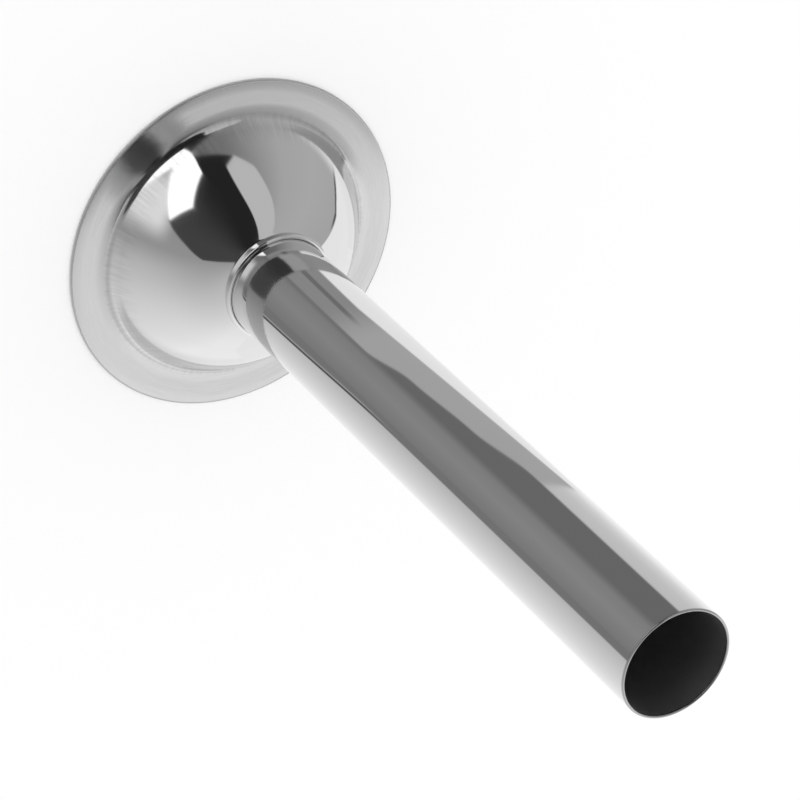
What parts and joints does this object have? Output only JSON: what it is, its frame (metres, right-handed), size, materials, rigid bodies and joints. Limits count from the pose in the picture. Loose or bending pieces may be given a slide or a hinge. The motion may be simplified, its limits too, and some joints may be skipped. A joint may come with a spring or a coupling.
{
  "type": "sausage stuffing tube",
  "caption": "Straight steel filling tube standing in the neck of a domed round flange, clamped to a meat grinder to fill sausage casings.",
  "frame": {"origin": "centre of the brim's back face, on the tube's axis, where the part stands", "axes": "+Z along the tube, from the brim towards the mouth; X and Y in the plane of the brim"},
  "size_m": [0.07, 0.07, 0.1535],
  "materials": {
    "pressed_steel": "polished dome, circular brushed brim",
    "polished_tube": "bright polished"
  },
  "bodies": {
    "root": {"flange_dome": "pressed_steel", "filling_tube": "polished_tube"}
  },
  "joints": []
}
